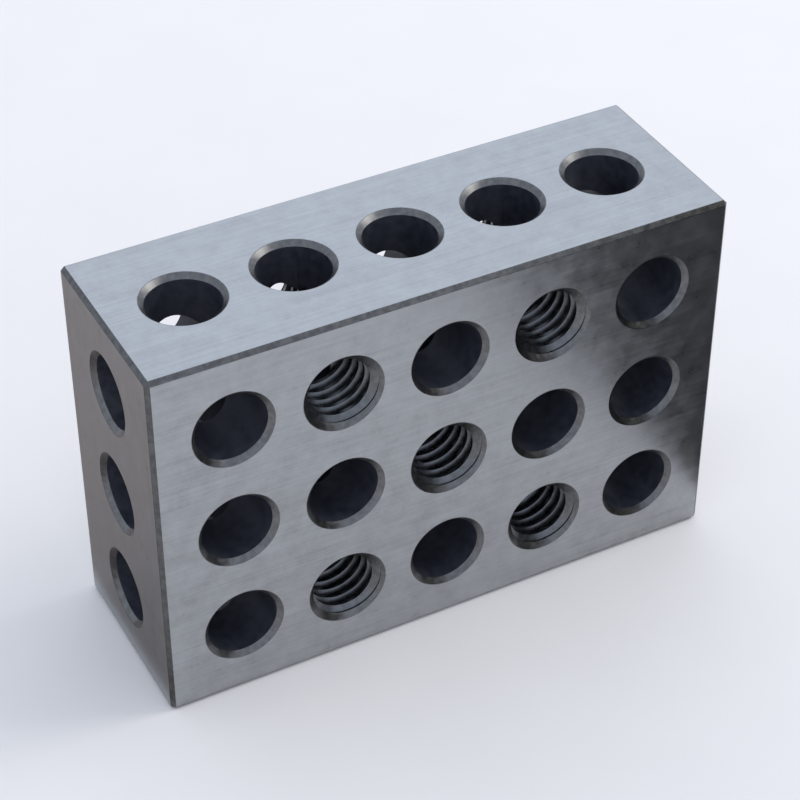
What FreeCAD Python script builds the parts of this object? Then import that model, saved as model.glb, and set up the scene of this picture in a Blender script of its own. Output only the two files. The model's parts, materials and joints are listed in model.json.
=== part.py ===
import FreeCAD, Part
import math
import os

# A machinist's 1-2-3 setup block: one piece of hardened, ground tool steel, drilled
# right through in all three directions and used to pack, square and clamp work.
#
# Millimetres, +Z up. The origin is the centre of the 1 x 3 in face that the block
# rests on. X runs along the 3 in length, Y across the 1 in thickness, Z up the 2 in height.

INCH = 25.4
X_AXIS = FreeCAD.Vector(1, 0, 0)
Y_AXIS = FreeCAD.Vector(0, 1, 0)
Z_AXIS = FreeCAD.Vector(0, 0, 1)

# The ground block. Its three sizes give it its name.
length = 3 * INCH
thickness = 1 * INCH
height = 2 * INCH
edge_chamfer = 0.5

# The holes stand in an even grid, with the outer ones this far in from the ends.
hole_columns = 5
hole_rows = 3
end_margin = 0.4 * INCH

# The two kinds of hole, and the countersink that both have at each mouth.
plain_bore_diameter = 9.15
tapping_drill_diameter = 0.3125 * INCH
mouth_diameter = 10.4
countersink_angle = 90.0

# How far a cutting tool stands out past the face that it cuts.
tool_overrun = 2.0


def evenly_spaced(count, span):
    """Places of count holes along a span centred on zero."""
    step = span / (count - 1)
    return [step * i - span / 2 for i in range(count)]


def ground_blank():
    """The block before drilling, with all twelve outer edges broken."""
    corner = FreeCAD.Vector(-length / 2, -thickness / 2, 0)
    blank = Part.makeBox(length, thickness, height, corner)
    return blank.makeChamfer(edge_chamfer, blank.Edges)


def hole_cutter(diameter, depth, centre, axis):
    """The space of one through hole: a bore with a countersink at each face.

    It is half of the hole's section, turned about the hole's axis.
    """
    bore = diameter / 2
    mouth = mouth_diameter / 2
    face = depth / 2
    sink_end = face - (mouth - bore) / math.tan(math.radians(countersink_angle / 2))
    outside = face + tool_overrun
    section = Part.makePolygon(
        [
            FreeCAD.Vector(0, 0, -outside),
            FreeCAD.Vector(mouth, 0, -outside),
            FreeCAD.Vector(mouth, 0, -face),
            FreeCAD.Vector(bore, 0, -sink_end),
            FreeCAD.Vector(bore, 0, sink_end),
            FreeCAD.Vector(mouth, 0, face),
            FreeCAD.Vector(mouth, 0, outside),
            FreeCAD.Vector(0, 0, outside),
            FreeCAD.Vector(0, 0, -outside),
        ]
    )
    cutter = Part.Face(section).revolve(FreeCAD.Vector(0, 0, 0), Z_AXIS, 360)
    turn = FreeCAD.Rotation(Z_AXIS, axis)
    cutter.Placement = FreeCAD.Placement(centre, turn).multiply(cutter.Placement)
    return cutter


def is_tapped(column, row):
    """Every other hole of the broad face is tapped, apart from those in its end columns."""
    in_end_column = column in (0, hole_columns - 1)
    return (column + row) % 2 == 1 and not in_end_column


def hole_cutters():
    """One cutter for each hole, face by face. All the axes lie in the middle planes."""
    columns = evenly_spaced(hole_columns, length - 2 * end_margin)
    rows = evenly_spaced(hole_rows, height - 2 * end_margin)
    middle = height / 2
    cutters = []
    for i, x in enumerate(columns):
        for j, z in enumerate(rows):
            diameter = tapping_drill_diameter if is_tapped(i, j) else plain_bore_diameter
            centre = FreeCAD.Vector(x, 0, middle + z)
            cutters.append(hole_cutter(diameter, thickness, centre, Y_AXIS))
    for x in columns:
        centre = FreeCAD.Vector(x, 0, middle)
        cutters.append(hole_cutter(plain_bore_diameter, height, centre, Z_AXIS))
    for z in rows:
        centre = FreeCAD.Vector(0, 0, middle + z)
        cutters.append(hole_cutter(plain_bore_diameter, length, centre, X_AXIS))
    return cutters


def setup_block():
    """The whole part: the blank with every hole cut out of it at once."""
    return ground_blank().cut(hole_cutters())


os.makedirs("parts", exist_ok=True)
block = setup_block()
block.exportStep("parts/setup_block.step")
print("setup_block: valid", block.isValid(), "solids", len(block.Solids))
print("volume mm3", round(block.Volume, 2), "faces", len(block.Faces))
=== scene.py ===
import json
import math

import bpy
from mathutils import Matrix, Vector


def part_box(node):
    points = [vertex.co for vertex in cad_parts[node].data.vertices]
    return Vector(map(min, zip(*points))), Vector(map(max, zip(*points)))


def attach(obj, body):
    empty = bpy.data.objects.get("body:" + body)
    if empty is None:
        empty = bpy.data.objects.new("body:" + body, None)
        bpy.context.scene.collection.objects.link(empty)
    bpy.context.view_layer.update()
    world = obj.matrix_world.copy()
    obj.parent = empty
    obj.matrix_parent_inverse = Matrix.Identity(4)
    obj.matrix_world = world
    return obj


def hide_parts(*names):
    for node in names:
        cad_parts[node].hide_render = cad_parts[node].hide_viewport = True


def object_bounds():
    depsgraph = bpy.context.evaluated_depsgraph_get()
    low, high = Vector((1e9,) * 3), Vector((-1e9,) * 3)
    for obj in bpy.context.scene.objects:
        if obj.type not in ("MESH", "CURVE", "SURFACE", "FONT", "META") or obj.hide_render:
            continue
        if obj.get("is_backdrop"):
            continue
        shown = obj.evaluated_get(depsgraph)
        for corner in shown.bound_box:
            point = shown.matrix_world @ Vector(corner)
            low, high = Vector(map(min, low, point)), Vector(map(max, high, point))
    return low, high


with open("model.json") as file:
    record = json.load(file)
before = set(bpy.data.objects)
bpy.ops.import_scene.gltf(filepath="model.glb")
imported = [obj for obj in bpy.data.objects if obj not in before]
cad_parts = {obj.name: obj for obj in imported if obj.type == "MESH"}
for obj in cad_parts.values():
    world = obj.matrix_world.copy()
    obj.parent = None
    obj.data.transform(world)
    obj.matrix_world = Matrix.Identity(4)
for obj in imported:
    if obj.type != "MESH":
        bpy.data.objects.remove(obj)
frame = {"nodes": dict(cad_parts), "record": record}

# %% [markdown]
# # A machinist's setup block in ground steel
#
# The real thing is a plain bar of tool steel, hardened, ground flat and square on all six
# faces, and drilled right through in three directions. Machinists call it a 1-2-3 block,
# after its sides of one, two and three inches. Its beauty is in what the tools left behind:
# the fine straight scratches of the grinding wheel, the clean cone of each countersink, the
# dark scale that heat left inside the holes, and a sharp thread in five of them.
#
# The frame gives the sizes. Everything below is worked out from it, so the visual block and
# the solid block can't drift apart.

MM = 0.001
cad_low, cad_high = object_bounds()
low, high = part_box("setup_block")
size = high - low
middle = (low + high) / 2
print("block in mm:", [round(s / MM, 3) for s in size])

# %% [markdown]
# ## Reading the holes
#
# Each hole is a mount in the record, with its place, its axis, its radius and the length of
# its straight part. The countersinks take up the rest of the way through. They are cut at 45
# degrees, so a countersink is as deep as it is wide, and the missing length gives the radius
# of the mouth.

# %% Hole sizes and steps
holes = [m for m in frame["record"]["mounts"] if m["kind"] in ("bore", "threaded_hole")]


def holes_along(letter):
    """The holes whose axis runs along x, y or z."""
    place = "xyz".index(letter)
    return [m for m in holes if abs(m["axis"][place]) > 0.5]


def places(mounts, letter):
    """The different places of some mounts along one direction, in order."""
    place = "xyz".index(letter)
    return sorted({round(m["pos_m"][place], 7) for m in mounts})


across = holes_along("y")
columns = places(across, "x")
rows = places(across, "z")
column_step = columns[1] - columns[0]
row_step = rows[1] - rows[0]
plain = next(m for m in across if m["kind"] == "bore")
tapped = next(m for m in across if m["kind"] == "threaded_hole")
bore_radius = plain["dims"]["r_mm"] * MM
tap_drill_radius = tapped["dims"]["r_mm"] * MM
mouth_radius = bore_radius + (size.y - plain["dims"]["length_mm"] * MM) / 2
print("columns", len(columns), "rows", len(rows), "mouth mm", round(2 * mouth_radius / MM, 3))

# %% [markdown]
# ## The thread
#
# The five tapped holes take a 3/8 inch coarse bolt, with sixteen threads to the inch. All
# its other sizes follow from the pitch and the outer diameter: the flanks stand at 60
# degrees to each other, and the bottom of the groove is a flat of an eighth of the pitch.

# %% Thread sizes
INCH = 25.4 * MM
thread_pitch = INCH / 16
thread_radius = 3 / 8 * INCH / 2
flank_half_angle = math.radians(30)
print("thread depth mm", round((thread_radius - tap_drill_radius) / MM, 3))

# %% [markdown]
# The corners of the bar are broken with a small chamfer, so that it can't cut a hand or hold
# a burr under it. The solid's own mesh says how wide that is: it is how far the front face
# stops short of the bottom.

# %% Width of the broken edges
solid = frame["nodes"]["setup_block"].data
front_heights = [v.co.z for v in solid.vertices if abs(v.co.y - low.y) < 0.001 * MM]
edge_break = min(front_heights) - low.z
print("edge break mm", round(edge_break / MM, 3))

# %% [markdown]
# ## Writing nodes as sums
#
# A node tree is easier to read as arithmetic than as a list of boxes and wires. The class
# `Value` holds one socket and answers to plus, minus, times and the rest by adding a Math
# node, so `1 - mask` is a wire from a new node. `Tree` has one method, `node`, for everything
# else: it takes the node's type, then its settings, then what goes into its sockets.

# %% Values that know arithmetic
class Value:
    """One output socket of a tree, which ordinary arithmetic can use."""

    def __init__(self, tree, socket):
        self.tree = tree
        self.socket = socket

    def maths(self, operation, *others):
        settings = {"operation": operation}
        return self.tree.node("ShaderNodeMath", settings, [self, *others])[0]

    def turned_round(self, operation, other):
        settings = {"operation": operation}
        return self.tree.node("ShaderNodeMath", settings, [other, self])[0]

    def __add__(self, other):
        return self.maths("ADD", other)

    def __radd__(self, other):
        return self.turned_round("ADD", other)

    def __sub__(self, other):
        return self.maths("SUBTRACT", other)

    def __rsub__(self, other):
        return self.turned_round("SUBTRACT", other)

    def __mul__(self, other):
        return self.maths("MULTIPLY", other)

    def __rmul__(self, other):
        return self.turned_round("MULTIPLY", other)

    def __truediv__(self, other):
        return self.maths("DIVIDE", other)

    def __rtruediv__(self, other):
        return self.turned_round("DIVIDE", other)

    def __abs__(self):
        return self.maths("ABSOLUTE")

    def __gt__(self, other):
        return self.maths("GREATER_THAN", other)

    def __lt__(self, other):
        return self.maths("LESS_THAN", other)


print("a Value knows:", "plus, minus, times, over, size, more than, less than")


# %% A tree with one way to add a node
class Tree:
    """A node tree, and the one method that adds nodes to it."""

    def __init__(self, node_tree):
        self.node_tree = node_tree

    def node(self, kind, settings=None, inputs=()):
        """Adds a node: its settings first, then a value or a link for each socket."""
        made = self.node_tree.nodes.new(kind)
        for name, setting in (settings or {}).items():
            if name == "items":
                for _ in range(setting - len(made.index_switch_items)):
                    made.index_switch_items.new()
            else:
                setattr(made, name, setting)
        pairs = inputs.items() if isinstance(inputs, dict) else enumerate(inputs)
        for key, given in pairs:
            self.feed(find_socket(made.inputs, key), given)
        return Outputs(self, made)

    def feed(self, socket, given):
        """Links a Value, or several, to a socket, or sets a plain number, vector or text."""
        for each in given if isinstance(given, list) else [given]:
            if isinstance(each, Value):
                self.node_tree.links.new(each.socket, socket)
            else:
                socket.default_value = each


class Outputs:
    """The outputs of a node, found by name or by number."""

    def __init__(self, tree, node):
        self.tree = tree
        self.node = node

    def __getitem__(self, key):
        return Value(self.tree, find_socket(self.node.outputs, key))


def find_socket(sockets, key):
    """A socket by its number, its identifier or its name, in that order."""
    if isinstance(key, int):
        return sockets[key]
    by_identifier = [s for s in sockets if s.identifier == key]
    by_name = [s for s in sockets if s.name == key]
    return (by_identifier + by_name)[0]


print("a Tree adds nodes, and its Outputs are Values")

# %% [markdown]
# ## The recipe for the block
#
# The block follows a rule: a bar, a grid of holes, three kinds of tool. That is what
# Geometry Nodes are good at. The tree has named inputs for its sizes, like the blanks on a
# works drawing, and the numbers are filled in on the modifier at the end.

# %% A tree with named sizes
recipe = Tree(bpy.data.node_groups.new("drilled_block", "GeometryNodeTree"))
face_of_tree = recipe.node_tree.interface
face_of_tree.new_socket("Geometry", in_out="INPUT", socket_type="NodeSocketGeometry")
face_of_tree.new_socket("Geometry", in_out="OUTPUT", socket_type="NodeSocketGeometry")

sizes = {
    "Length": size.x,
    "Thickness": size.y,
    "Height": size.z,
    "Edge Break": edge_break,
    "Edge Rounding": 0.10 * MM,
    "Column Step": column_step,
    "Row Step": row_step,
    "Bore Radius": bore_radius,
    "Tap Drill Radius": tap_drill_radius,
    "Mouth Radius": mouth_radius,
    "Rim Rounding": 0.14 * MM,
    "Thread Radius": thread_radius,
    "Thread Pitch": thread_pitch,
}
counts = {"Columns": len(columns), "Rows": len(rows), "Facets Round": 96}
for name in sizes:
    face_of_tree.new_socket(name, in_out="INPUT", socket_type="NodeSocketFloat")
for name in counts:
    face_of_tree.new_socket(name, in_out="INPUT", socket_type="NodeSocketInt")
given = recipe.node("NodeGroupInput")
print("inputs of the tree:", len(sizes) + len(counts))


# %% Small words for the tree
def vector(tree, x=0.0, y=0.0, z=0.0):
    """Three numbers or Values as one vector."""
    return tree.node("ShaderNodeCombineXYZ", None, [x, y, z])[0]


def parts_of(tree, socket):
    """The x, y and z of a vector."""
    split = tree.node("ShaderNodeSeparateXYZ", None, [socket])
    return split["X"], split["Y"], split["Z"]


def mark(tree, mesh, zone):
    """Writes on each face which kind of surface it is, for the materials to come."""
    settings = {"data_type": "INT", "domain": "FACE"}
    inputs = {"Geometry": mesh, "Name": "zone", "Value": zone}
    return tree.node("GeometryNodeStoreNamedAttribute", settings, inputs)["Geometry"]


GROUND, EDGE, SINK, BORE, THREAD = range(5)
print("kinds of surface:", THREAD + 1)

# %% [markdown]
# ## The bar before drilling
#
# A cube with a Bevel would do, but there is a neater way that gives every edge its tiny
# round too. Three boxes, each short of the bar by the chamfer in two directions, have
# between them the twenty-four corners of the chamfered bar. A little ball goes on each
# corner, and the tightest skin round all the balls, their convex hull, is the finished bar:
# flat faces, flat chamfers, and a round of the ball's radius wherever two of them meet.
#
# The balls push the skin out by their radius, so the boxes are that much smaller. Along a
# chamfer the faces move in twice and the slope once, which is what the 2 - root 2 is for.


# %% The bar
def corner_box(short_of):
    """A box that reaches the bar's faces in the one direction that is not in short_of."""
    inset = given["Edge Rounding"]
    chamfer = given["Edge Break"] - inset * (2 - math.sqrt(2))
    sides = {}
    for letter, side in (("x", "Length"), ("y", "Thickness"), ("z", "Height")):
        full = given[side] - 2 * inset
        sides[letter] = full - 2 * chamfer if letter in short_of else full
    box_size = vector(recipe, sides["x"], sides["y"], sides["z"])
    return recipe.node("GeometryNodeMeshCube", None, {"Size": box_size})["Mesh"]


BALL_SEGMENTS = 24
FLAT_ON = 0.9999
boxes = [corner_box(short_of) for short_of in ("yz", "xz", "xy")]
corners = recipe.node("GeometryNodeJoinGeometry", None, {"Geometry": boxes})["Geometry"]
inputs = {
    "Segments": BALL_SEGMENTS,
    "Rings": BALL_SEGMENTS // 2,
    "Radius": given["Edge Rounding"],
}
ball = recipe.node("GeometryNodeMeshUVSphere", None, inputs)["Mesh"]
inputs = {"Points": corners, "Instance": ball}
balls = recipe.node("GeometryNodeInstanceOnPoints", None, inputs)["Instances"]
balls = recipe.node("GeometryNodeRealizeInstances", None, {"Geometry": balls})["Geometry"]
bar = recipe.node("GeometryNodeConvexHull", None, {"Geometry": balls})["Convex Hull"]
inputs = {"Geometry": bar, "Offset": vector(recipe, z=given["Height"] / 2)}
bar = recipe.node("GeometryNodeSetPosition", None, inputs)["Geometry"]

facing = recipe.node("GeometryNodeInputNormal")["Normal"]
nx, ny, nz = parts_of(recipe, facing)
straight_on = abs(nx).maths("MAXIMUM", abs(ny)).maths("MAXIMUM", abs(nz))
bar = mark(recipe, bar, (straight_on < FLAT_ON) * EDGE)
print("bar drawn from", len(boxes), "boxes")

# %% [markdown]
# ## Turned tools
#
# A drill with its countersinks is a turned shape: a circle pushed along a straight line
# while its radius changes. Curve to Mesh does just that, because it scales the profile by
# the radius of the path at each point. So the tool is a short list of stations, each a
# height and a radius, and the node tree does the turning.


# %% A lathe made of nodes
def pick(tree, choices):
    """The choice whose number is the point's own number along the line."""
    own_number = tree.node("GeometryNodeInputIndex")["Index"]
    settings = {"data_type": "FLOAT", "items": len(choices)}
    inputs = dict(enumerate([own_number, *choices]))
    return tree.node("GeometryNodeIndexSwitch", settings, inputs)["Output"]


def turned(tree, stations):
    """A solid of revolution about Z through (height, radius) stations."""
    heights = pick(tree, [height for height, _ in stations])
    radii = pick(tree, [radius for _, radius in stations])
    line = tree.node("GeometryNodeMeshLine", None, {"Count": len(stations)})["Mesh"]
    inputs = {"Geometry": line, "Position": vector(tree, z=heights)}
    line = tree.node("GeometryNodeSetPosition", None, inputs)["Geometry"]
    path = tree.node("GeometryNodeMeshToCurve", None, {"Mesh": line})["Curve"]
    inputs = {"Resolution": given["Facets Round"], "Radius": 1.0}
    circle = tree.node("GeometryNodeCurvePrimitiveCircle", {"mode": "RADIUS"}, inputs)["Curve"]
    inputs = {"Curve": path, "Profile Curve": circle, "Scale": radii, "Fill Caps": True}
    return tree.node("GeometryNodeCurveToMesh", None, inputs)["Mesh"]


print("lathe ready")

# %% [markdown]
# ## A drill with two countersinks
#
# One tool cuts a whole hole, from above one face to below the other. From the middle out,
# its stations are the bore, the 45 degree cone up to the face, and a clearance outside the
# block. Where the cone meets the face a real block has no razor edge: the last grinding pass
# and some handling have rounded it. Three short steps of 15 degrees make that round. The
# last one crosses the face at a slant, because a tool that only touched the face would leave
# the cutter nothing definite to cut.
#
# The four tools are spun a few degrees apart about their own axes. Otherwise the corners of
# their many-sided rounds would meet point on point where two holes cross.

# %% The hole tool
HALF_STEP = math.radians(7.5)
RIM_SLOPES = [5 * HALF_STEP, 3 * HALF_STEP, HALF_STEP]
OVERRUN = 2 * MM
UPRIGHT = 0.05


def half_of_hole(depth, radius, mouth, rounding):
    """Stations of the tool's upper half, from the start of the cone to the outside."""
    chord = rounding * (2 * math.sin(HALF_STEP))
    height = depth / 2
    rim = mouth + rounding * math.tan(math.radians(22.5))
    steps = [(height, rim)]
    for slope in reversed(RIM_SLOPES):
        above_height, above_radius = steps[-1]
        below = (
            above_height - chord * math.sin(slope),
            above_radius - chord * math.cos(slope),
        )
        steps.append(below)
    steps.reverse()
    slant = math.tan(RIM_SLOPES[-1])
    lead_out = (height + rounding * slant, rim + rounding)
    outside = (height + OVERRUN, rim + rounding)
    cone_start = (height - (mouth - radius), radius)
    return [cone_start, *steps, lead_out, outside]


def hole_tool(tree, depth, radius, zone, spin):
    """A drill and its two countersinks, standing along Z about the origin."""
    top = half_of_hole(depth, radius, given["Mouth Radius"], given["Rim Rounding"])
    bottom = [(-1 * height, radius) for height, radius in reversed(top)]
    inputs = {"Geometry": turned(tree, bottom + top), "Rotation": (0, 0, math.radians(spin))}
    tool = tree.node("GeometryNodeTransform", None, inputs)["Geometry"]
    slope = abs(parts_of(tree, tree.node("GeometryNodeInputNormal")["Normal"])[2])
    return mark(tree, tool, (slope > UPRIGHT) * (SINK - zone) + zone)


across_tool = hole_tool(recipe, given["Thickness"], given["Bore Radius"], BORE, spin=0.4)
tapping_tool = hole_tool(recipe, given["Thickness"], given["Tap Drill Radius"], THREAD, spin=1.1)
upright_tool = hole_tool(recipe, given["Height"], given["Bore Radius"], BORE, spin=1.7)
lengthwise_tool = hole_tool(recipe, given["Length"], given["Bore Radius"], BORE, spin=2.9)
print("stations in a tool:", 2 * (len(RIM_SLOPES) + 4))

# %% [markdown]
# ## The tap
#
# The thread is a groove that winds through the block like a stripe on a barber's pole. A
# spiral gives the path, and its profile is the groove's section, carried along with its
# wide side towards the axis. The profile starts a little inside the drilled hole, so that
# tool and hole overlap well, and it runs out past both faces.
#
# Blender's spiral turns clockwise as it climbs, which would be a left-handed thread.
# Reverse makes it the right-handed one that every common bolt has.

# %% The tap
TAP_STEPS_PER_TURN = 64
REACH_INSIDE = 0.3 * MM
tap_turns = (given["Thickness"] + 2 * OVERRUN) / given["Thread Pitch"]
tap_height = given["Thickness"] + 2 * OVERRUN
inputs = {
    "Resolution": TAP_STEPS_PER_TURN,
    "Rotations": tap_turns,
    "Start Radius": given["Thread Radius"],
    "End Radius": given["Thread Radius"],
    "Height": tap_height,
    "Reverse": True,
}
winding = recipe.node("GeometryNodeCurveSpiral", None, inputs)["Curve"]
inputs = {"Geometry": winding, "Offset": vector(recipe, z=tap_height * -0.5)}
winding = recipe.node("GeometryNodeSetPosition", None, inputs)["Geometry"]
winding = recipe.node("GeometryNodeSetCurveNormal", {"mode": "Z_UP"}, {"Curve": winding})["Curve"]

groove_depth = given["Thread Radius"] - given["Tap Drill Radius"] + REACH_INSIDE
half_root = given["Thread Pitch"] / 16
half_open = half_root + groove_depth * math.tan(flank_half_angle)
inputs = {
    "Point 1": vector(recipe, 0.0, half_root * -1),
    "Point 2": vector(recipe, 0.0, half_root),
    "Point 3": vector(recipe, groove_depth * -1, half_open),
    "Point 4": vector(recipe, groove_depth * -1, half_open * -1),
}
settings = {"mode": "POINTS"}
groove = recipe.node("GeometryNodeCurvePrimitiveQuadrilateral", settings, inputs)["Curve"]
inputs = {"Curve": winding, "Profile Curve": groove, "Fill Caps": True}
tap = recipe.node("GeometryNodeCurveToMesh", None, inputs)["Mesh"]
tap = recipe.node("GeometryNodeTriangulate", None, {"Mesh": tap})["Mesh"]
tap = mark(recipe, tap, THREAD)
print("turns of the tap:", round((size.y + 2 * OVERRUN) / thread_pitch, 2))

# %% [markdown]
# ## Where the tools go
#
# The holes across the block stand in a grid, and a hole is tapped if its column and row
# numbers add up to an odd number and it isn't in an end column: the pattern of the five on a
# die. The upright holes share the columns, and the lengthwise holes share the rows, so all
# three sets meet in the middle of the block.


# %% The grid of holes
inputs = {
    "Size X": (given["Columns"] - 1) * given["Column Step"],
    "Size Y": (given["Rows"] - 1) * given["Row Step"],
    "Vertices X": given["Columns"],
    "Vertices Y": given["Rows"],
}
grid = recipe.node("GeometryNodeMeshGrid", None, inputs)["Mesh"]
inputs = {
    "Geometry": grid,
    "Translation": vector(recipe, z=given["Height"] / 2),
    "Rotation": (math.radians(90), 0, 0),
}
grid = recipe.node("GeometryNodeTransform", None, inputs)["Geometry"]

px, py, pz = parts_of(recipe, recipe.node("GeometryNodeInputPosition")["Position"])
column = (px / given["Column Step"] + (given["Columns"] - 1) / 2).maths("ROUND")
height_in_steps = (pz - given["Height"] / 2) / given["Row Step"]
row = (height_in_steps + (given["Rows"] - 1) / 2).maths("ROUND")
inner_column = (column > 0.5) * (column < given["Columns"] - 1.5)
is_tapped = (column + row).maths("MODULO", 2) * inner_column
print("places in the grid:", len(columns) * len(rows))


# %% [markdown]
# The other two sets of holes need no grid, only a row of points each. The upright holes repeat
# along the length, and the lengthwise holes repeat up the height.


# %% The other two sets of points
def line_of_points(count, start, offset):
    """Points for one row of holes, from a start, an offset apart."""
    inputs = {"Count": count, "Start Location": start, "Offset": offset}
    return recipe.node("GeometryNodeMeshLine", None, inputs)["Mesh"]


half_span = (given["Columns"] - 1) * given["Column Step"] * -0.5
upright_points = line_of_points(
    given["Columns"],
    vector(recipe, x=half_span, z=given["Height"] / 2),
    vector(recipe, x=given["Column Step"]),
)
lowest_row = given["Height"] / 2 - (given["Rows"] - 1) * given["Row Step"] * 0.5
lengthwise_points = line_of_points(
    given["Rows"],
    vector(recipe, z=lowest_row),
    vector(recipe, z=given["Row Step"]),
)
print("upright holes", len(columns), "lengthwise holes", len(rows))

# %% [markdown]
# ## Cutting
#
# Every tool is an instance on its points, and one Boolean takes them all away from the bar.
# The Manifold solver is made for closed solids like these. It also keeps the number that
# `mark` wrote on each tool's faces, so every surface of the hole still knows what cut it.


# %% The cut
def set_out(points, tool, chosen, rotation):
    """The tool at each chosen point, turned to its direction."""
    inputs = {"Points": points, "Selection": chosen, "Instance": tool, "Rotation": rotation}
    return recipe.node("GeometryNodeInstanceOnPoints", None, inputs)["Instances"]


ALONG_Y = (math.radians(90), 0, 0)
ALONG_Z = (0, 0, 0)
ALONG_X = (0, math.radians(90), 0)
cutters = [
    set_out(grid, across_tool, 1 - is_tapped, ALONG_Y),
    set_out(grid, tapping_tool, is_tapped, ALONG_Y),
    set_out(grid, tap, is_tapped, ALONG_Y),
    set_out(upright_points, upright_tool, True, ALONG_Z),
    set_out(lengthwise_points, lengthwise_tool, True, ALONG_X),
]
settings = {"operation": "DIFFERENCE", "solver": "MANIFOLD"}
inputs = {"Mesh 1": bar, "Mesh 2": cutters}
block = recipe.node("GeometryNodeMeshBoolean", settings, inputs)["Mesh"]
print("sets of cutters:", len(cutters))

# %% [markdown]
# ## Smooth where it was turned, flat where it was ground
#
# The round surfaces are shaded smooth, up to any edge sharper than 30 degrees. The ground
# faces and the chamfers stay flat, so their light doesn't bend towards the edges.

# %% Shading and finishes
zone = recipe.node("GeometryNodeInputNamedAttribute", {"data_type": "INT"}, {"Name": "zone"})
zone = zone["Attribute"]
SHARP = math.radians(30)
bend = recipe.node("GeometryNodeInputMeshEdgeAngle")["Unsigned Angle"]
turned_part = zone > EDGE + 0.5
ground_part = zone < EDGE + 0.5
for domain, chosen, smooth in (
    ("FACE", turned_part, True),
    ("FACE", ground_part, False),
    ("EDGE", bend > SHARP, False),
):
    inputs = {"Geometry": block, "Selection": chosen, "Shade Smooth": smooth}
    block = recipe.node("GeometryNodeSetShadeSmooth", {"domain": domain}, inputs)["Geometry"]

finishes = {
    GROUND: bpy.data.materials.new("surface_ground_steel"),
    EDGE: bpy.data.materials.new("broken_edge"),
    SINK: bpy.data.materials.new("countersunk_steel"),
    BORE: bpy.data.materials.new("hole_scale"),
    THREAD: bpy.data.materials.new("cut_thread"),
}
block = recipe.node("GeometryNodeRealizeInstances", None, {"Geometry": block})["Geometry"]
for number, finish in finishes.items():
    inputs = {"Geometry": block, "Material": finish}
    if number != GROUND:
        inputs["Selection"] = zone > number - 0.5
    block = recipe.node("GeometryNodeSetMaterial", None, inputs)["Geometry"]
recipe.node("NodeGroupOutput", None, [block])
print("finishes:", [finish.name for finish in finishes.values()])

# %% [markdown]
# ## From recipe to steel
#
# The modifier gets its numbers by each socket's identifier, and the evaluated result becomes
# a plain mesh. From here on the block is ordinary triangles and faces, and the recipe has
# done its work.


# %% The finished mesh
def drop_empty_slots(mesh):
    """Takes out material slots that hold nothing. Faces keep their own material."""
    for number in reversed(range(len(mesh.materials))):
        if mesh.materials[number] is None:
            mesh.materials.pop(index=number)


def made_by(tree, name, numbers):
    """A new object whose mesh is what the tree makes from these named numbers."""
    piece = bpy.data.objects.new(name, bpy.data.meshes.new(name))
    bpy.context.scene.collection.objects.link(piece)
    modifier = piece.modifiers.new("recipe", "NODES")
    modifier.node_group = tree.node_tree
    for item in tree.node_tree.interface.items_tree:
        if item.in_out == "INPUT" and item.name in numbers:
            modifier[item.identifier] = numbers[item.name]
    depsgraph = bpy.context.evaluated_depsgraph_get()
    evaluated = piece.evaluated_get(depsgraph)
    piece.data = bpy.data.meshes.new_from_object(evaluated, depsgraph=depsgraph)
    piece.data.name = name
    piece.modifiers.clear()
    drop_empty_slots(piece.data)
    return piece


setup_block = made_by(recipe, "block_of_ground_steel", {**sizes, **counts})
setup_block.data.attributes.remove(setup_block.data.attributes["zone"])
triangles = sum(len(p.vertices) - 2 for p in setup_block.data.polygons)
print("triangles", triangles, "materials", [m.name for m in setup_block.data.materials])

# %% [markdown]
# ## Words for finishes
#
# A finish is a Principled shader with patterns behind it. A few small functions cover what
# the patterns need: `finish_with` ends a tree in the shader, `noise` is a cloudy pattern,
# `spread` stretches the part of a pattern between two levels to a range of its own, and
# `bumped` turns a pattern into height. Only what varies over the surface gets a wire. What is
# the same all over is set on the shader's own socket.


# %% Helpers for the finishes
def finish_tree(finish):
    """The empty shader tree of a material."""
    finish.use_nodes = True
    finish.node_tree.nodes.clear()
    return Tree(finish.node_tree)


def finish_with(tree, **sockets):
    """Ends a shader tree in a Principled shader with these sockets."""
    named = {name.replace("_", " "): given for name, given in sockets.items()}
    shader = tree.node("ShaderNodeBsdfPrincipled", None, named)
    tree.node("ShaderNodeOutputMaterial", None, {"Surface": shader["BSDF"]})


def noise(tree, place, scale, detail=2.0):
    """A cloudy pattern from 0 to 1, with this many clouds to the metre."""
    inputs = {"Vector": place, "Scale": scale, "Detail": detail}
    return tree.node("ShaderNodeTexNoise", None, inputs)[0]


def spread(pattern, start, end, low_end=0.0, high_end=1.0):
    """The part of a pattern between start and end, stretched from low_end to high_end."""
    inputs = [pattern, start, end, low_end, high_end]
    return pattern.tree.node("ShaderNodeMapRange", None, inputs)[0]


def blended(tree, factor, first, second):
    """One colour changing into another as factor goes from 0 to 1."""
    settings = {"data_type": "RGBA"}
    inputs = {"Factor_Float": factor, "A_Color": first, "B_Color": second}
    return tree.node("ShaderNodeMix", settings, inputs)["Result_Color"]


def bumped(tree, height, depth):
    """A surface normal from a height pattern and the depth it stands for, in metres."""
    inputs = {"Height": height, "Distance": depth, "Strength": 1.0}
    return tree.node("ShaderNodeBump", None, inputs)["Normal"]


def grey(value, warmth=0.0):
    """A grey as a colour, a little to the red if warmth is above 0 and to the blue below."""
    return (value * (1 + warmth), value, value * (1 - warmth), 1.0)


print("a lighter steel grey:", grey(0.44, -0.03))


# %% [markdown]
# ## Ground steel
#
# A surface grinder drags the block to and fro under a wheel, and each grain of the wheel
# leaves a straight scratch. The scratches run along the block on the long faces and up the
# end faces, so the pattern is a noise pulled out a hundred times along that direction. It
# goes mostly into height and roughness: metal has little colour of its own, and what the eye
# reads as grey is the room, blurred by the scratches. Wider streaks, soft clouds and fine
# specks break up the evenness. Each pattern's number says how many of them fit in a metre.

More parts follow.
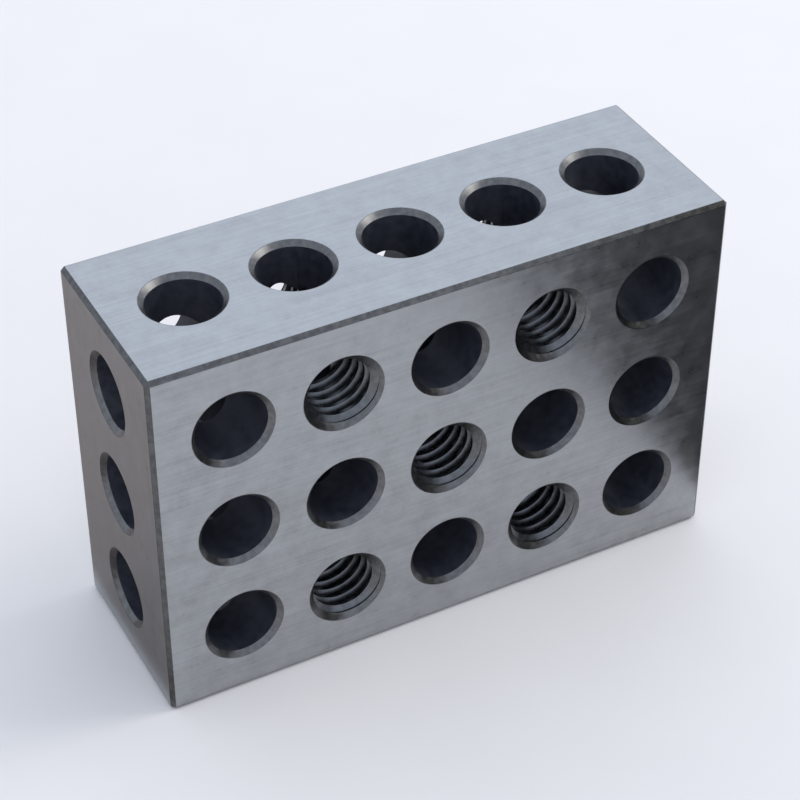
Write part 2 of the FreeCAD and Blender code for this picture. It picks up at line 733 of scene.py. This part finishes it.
# %% The ground faces
SCRATCHES = 4200
STREAKS = 900
CLOUDS = 420
SPECKS = 1500
SCRATCH_STRETCH = 0.012
STREAK_STRETCH = 0.06
SCRATCH_DEPTH = 3.0e-6
steel = finish_tree(finishes[GROUND])
coordinates = steel.node("ShaderNodeTexCoord")
x, y, z = parts_of(steel, coordinates["Object"])
end_face = abs(parts_of(steel, coordinates["Normal"])[0]) > 0.7
along = x + end_face * (z - x)
up = z + end_face * (x - z)
scratches = noise(steel, vector(steel, along * SCRATCH_STRETCH, y, up), SCRATCHES, 3.0)
streaks = noise(steel, vector(steel, along * STREAK_STRETCH, y, up), STREAKS, 2.0)
clouds = noise(steel, coordinates["Object"], CLOUDS, 4.0)
speckle = noise(steel, coordinates["Object"], SPECKS, 2.0)
grain = scratches * 0.5 + streaks * 0.25 + speckle * 0.25
shade = spread(grain * 0.6 + clouds * 0.4, 0.38, 0.62)
colour = blended(steel, shade, grey(0.34, -0.03), grey(0.44, -0.03))
finish_with(
    steel,
    Base_Color=colour,
    Metallic=1.0,
    Roughness=spread(grain * 0.5 + clouds * 0.5, 0.35, 0.65, 0.26, 0.40),
    Normal=bumped(steel, scratches * 0.7 + speckle * 0.3, SCRATCH_DEPTH),
)
print("scratches to the metre:", SCRATCHES, "stretched", round(1 / SCRATCH_STRETCH), "times")

# %% [markdown]
# ## The unground parts
#
# Only the six faces were ground after hardening. The chamfers and the countersinks were cut
# before it, so they kept some of the dark skin that the furnace gives, rubbed thin by
# handling. They could share one material. They get one each, because an edge that meets the
# bench wears differently from a countersink that a screw head turns in.

# %% The broken edges
edge = finish_tree(finishes[EDGE])
place = edge.node("ShaderNodeTexCoord")["Object"]
RUB_MARKS = 1400
rubs = noise(edge, place, RUB_MARKS, 2.0)
finish_with(
    edge,
    Base_Color=blended(edge, spread(rubs, 0.35, 0.65), grey(0.10), grey(0.15)),
    Metallic=1.0,
    Roughness=spread(rubs, 0.3, 0.7, 0.34, 0.44),
)
print("rub marks to the metre:", RUB_MARKS)

# %% The countersinks
sink = finish_tree(finishes[SINK])
place = sink.node("ShaderNodeTexCoord")["Object"]
CHATTER_MARKS = 1400
chatter = noise(sink, place, CHATTER_MARKS, 2.0)
finish_with(
    sink,
    Base_Color=blended(sink, spread(chatter, 0.35, 0.65), grey(0.13), grey(0.18)),
    Metallic=1.0,
    Roughness=spread(chatter, 0.3, 0.7, 0.30, 0.40),
)
print("chatter marks to the metre:", CHATTER_MARKS)

# %% [markdown]
# ## Inside the holes
#
# Nothing reaches into the bores after the furnace, so they stay blue-black. That is an oxide
# and not bare metal: it is mostly a dark, dull coat, with a low Metallic. The threads are as
# dark, but bolts have run through them and polished their crests, so they shine where the
# bores don't.

# %% The bores
bore = finish_tree(finishes[BORE])
place = bore.node("ShaderNodeTexCoord")["Object"]
SCALE_PATCHES = 900
SCALE_DEPTH = 6.0e-6
DARK_SCALE = (0.026, 0.029, 0.042, 1)
WORN_SCALE = (0.046, 0.050, 0.066, 1)
patches = noise(bore, place, SCALE_PATCHES, 4.0)
finish_with(
    bore,
    Base_Color=blended(bore, spread(patches, 0.35, 0.65), DARK_SCALE, WORN_SCALE),
    Metallic=0.2,
    Roughness=spread(patches, 0.3, 0.7, 0.42, 0.6),
    Normal=bumped(bore, patches, SCALE_DEPTH),
)
print("scale from", DARK_SCALE[:3], "to", WORN_SCALE[:3])

# %% The threads
thread = finish_tree(finishes[THREAD])
place = thread.node("ShaderNodeTexCoord")["Object"]
TEAR_MARKS = 1200
tearing = noise(thread, place, TEAR_MARKS, 2.0)
finish_with(
    thread,
    Base_Color=blended(thread, spread(tearing, 0.35, 0.65), grey(0.13, -0.04), grey(0.18, -0.04)),
    Metallic=1.0,
    Roughness=spread(tearing, 0.3, 0.7, 0.26, 0.34),
)
print("tear marks to the metre:", TEAR_MARKS)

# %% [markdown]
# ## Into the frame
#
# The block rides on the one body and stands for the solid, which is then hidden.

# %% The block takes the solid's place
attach(setup_block, "root")
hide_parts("setup_block")
print("rides on root")

# %% [markdown]
# ## A place to stand
#
# The floor is a plain sheet of matt white paper, as in a small studio. Steel shows
# hardly anything but its surroundings, so the floor is part of the finish: the front face and
# the left end mirror it. Its faint fibres keep that mirror image from looking painted. It is
# a touch warm, to balance the cool light of the room.

# %% The floor
FLOOR_RADIUS = 2.0
FLOOR_SIDES = 64
PAPER_FIBRES = 60
floor_mesh = bpy.data.meshes.new("floor")
floor_corners = [
    (FLOOR_RADIUS * math.cos(a), FLOOR_RADIUS * math.sin(a), 0.0)
    for a in (math.tau * i / FLOOR_SIDES for i in range(FLOOR_SIDES))
]
floor_mesh.from_pydata(floor_corners, [], [list(range(FLOOR_SIDES))])
floor = bpy.data.objects.new("floor", floor_mesh)
bpy.context.scene.collection.objects.link(floor)
paper_material = bpy.data.materials.new("floor_paper")
paper = finish_tree(paper_material)
fibres = noise(paper, paper.node("ShaderNodeTexCoord")["Object"], PAPER_FIBRES, 4.0)
white = blended(paper, fibres, grey(0.84, 0.04), grey(0.88, 0.04))
finish_with(paper, Base_Color=white, Roughness=0.9)
floor_mesh.materials.append(paper_material)
floor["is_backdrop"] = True
print("floor radius m:", FLOOR_RADIUS)

# %% [markdown]
# ## Light for a mirror
#
# A bare lamp would leave a hard spot in ground steel. Instead the whole room glows a soft
# cool grey, a large weak softbox behind lights the top, and one at the side gives the shadow a
# direction.
#
# A block in an empty white room looks like paper, though. Studios stand dark cards just out of
# view, and the metal gets its depth from their reflections. These cards are switched off for
# the camera, for shadows and for soft bounced light, so they exist only as a reflection. One
# stands to the right, as a second block would. The other lies to the left.

# %% The light
def softbox(name, place, towards, width, depth, power, colour):
    """A soft rectangular lamp."""
    lamp = bpy.data.lights.new(name, "AREA")
    lamp.shape = "RECTANGLE"
    lamp.size = width
    lamp.size_y = depth
    lamp.energy = power
    lamp.color = colour
    holder = bpy.data.objects.new(name, lamp)
    holder.location = place
    holder.rotation_euler = (Vector(towards) - Vector(place)).to_track_quat("-Z", "Y").to_euler()
    bpy.context.scene.collection.objects.link(holder)


def dark_card(name, corners, colour):
    """A dull card, by its corners in mm, that only the steel sees, in its reflections."""
    mesh = bpy.data.meshes.new(name)
    mesh.from_pydata([Vector(corner) * MM for corner in corners], [], [(0, 1, 2, 3)])
    card = bpy.data.objects.new(name, mesh)
    bpy.context.scene.collection.objects.link(card)
    material = bpy.data.materials.new(name)
    finish_with(finish_tree(material), Base_Color=colour, Roughness=0.8)
    mesh.materials.append(material)
    card.visible_camera = False
    card.visible_diffuse = False
    card.visible_shadow = False
    card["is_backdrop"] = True


ROOM_COLOUR = (0.75, 0.82, 0.96, 1)
BACK_COLOUR = (0.90, 0.95, 1.0)
SIDE_COLOUR = (1.0, 0.96, 0.90)
room = bpy.data.worlds.new("studio")
bpy.context.scene.world = room
room.use_nodes = True
glow = room.node_tree.nodes["Background"].inputs
glow["Color"].default_value = ROOM_COLOUR
glow["Strength"].default_value = 1.0
softbox("back_softbox", (0.35, 0.75, 0.55), middle, 0.9, 0.6, 0.8, BACK_COLOUR)
softbox("side_softbox", (0.85, -0.15, 0.8), middle, 0.5, 0.5, 4.0, SIDE_COLOUR)
standing = [(41, -13, 1), (41, -85, 1), (41, -85, 80), (41, -13, 80)]
dark_card("dark_card_right", standing, (0.05, 0.05, 0.05, 1))
# The lying card is painted shade: a dark, warm sheet that the left end mirrors in place of shaded
# floor.
lying = [(-39, -15, 0.5), (-39, 130, 0.5), (-130, 130, 0.5), (-130, -15, 0.5)]
dark_card("dark_card_left", lying, (0.40, 0.34, 0.30, 1))

# %% [markdown]
# ## The camera
#
# A long lens from above and to the left shows three faces at once and keeps the upright edges
# nearly parallel. It looks at the middle of the block, level, and without any shift.

# %% The camera
LENS = 108
CAMERA_PLACE = Vector((-109.16, -206.12, 213.13)) * MM
camera_data = bpy.data.cameras.new("camera")
camera_data.lens = LENS
camera_data.sensor_width = 36
camera = bpy.data.objects.new("camera", camera_data)
camera.location = CAMERA_PLACE
camera.rotation_euler = (middle - camera.location).to_track_quat("-Z", "Y").to_euler()
bpy.context.scene.collection.objects.link(camera)
bpy.context.scene.camera = camera
bpy.context.scene.view_settings.view_transform = "Standard"
print("camera to block, mm:", round((middle - camera.location).length / MM, 1))

# %% [markdown]
# ## A last measurement
#
# The box round the finished piece is set beside the box of the solids, and its size is printed.
# For a block that is used as a gauge the two have to agree.

# %% Sizes for the record
seen_low, seen_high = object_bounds()
boxes = {"cad": [list(cad_low), list(cad_high)], "visual": [list(seen_low), list(seen_high)]}
print("visual box in mm:", [round(side / MM, 3) for side in seen_high - seen_low])
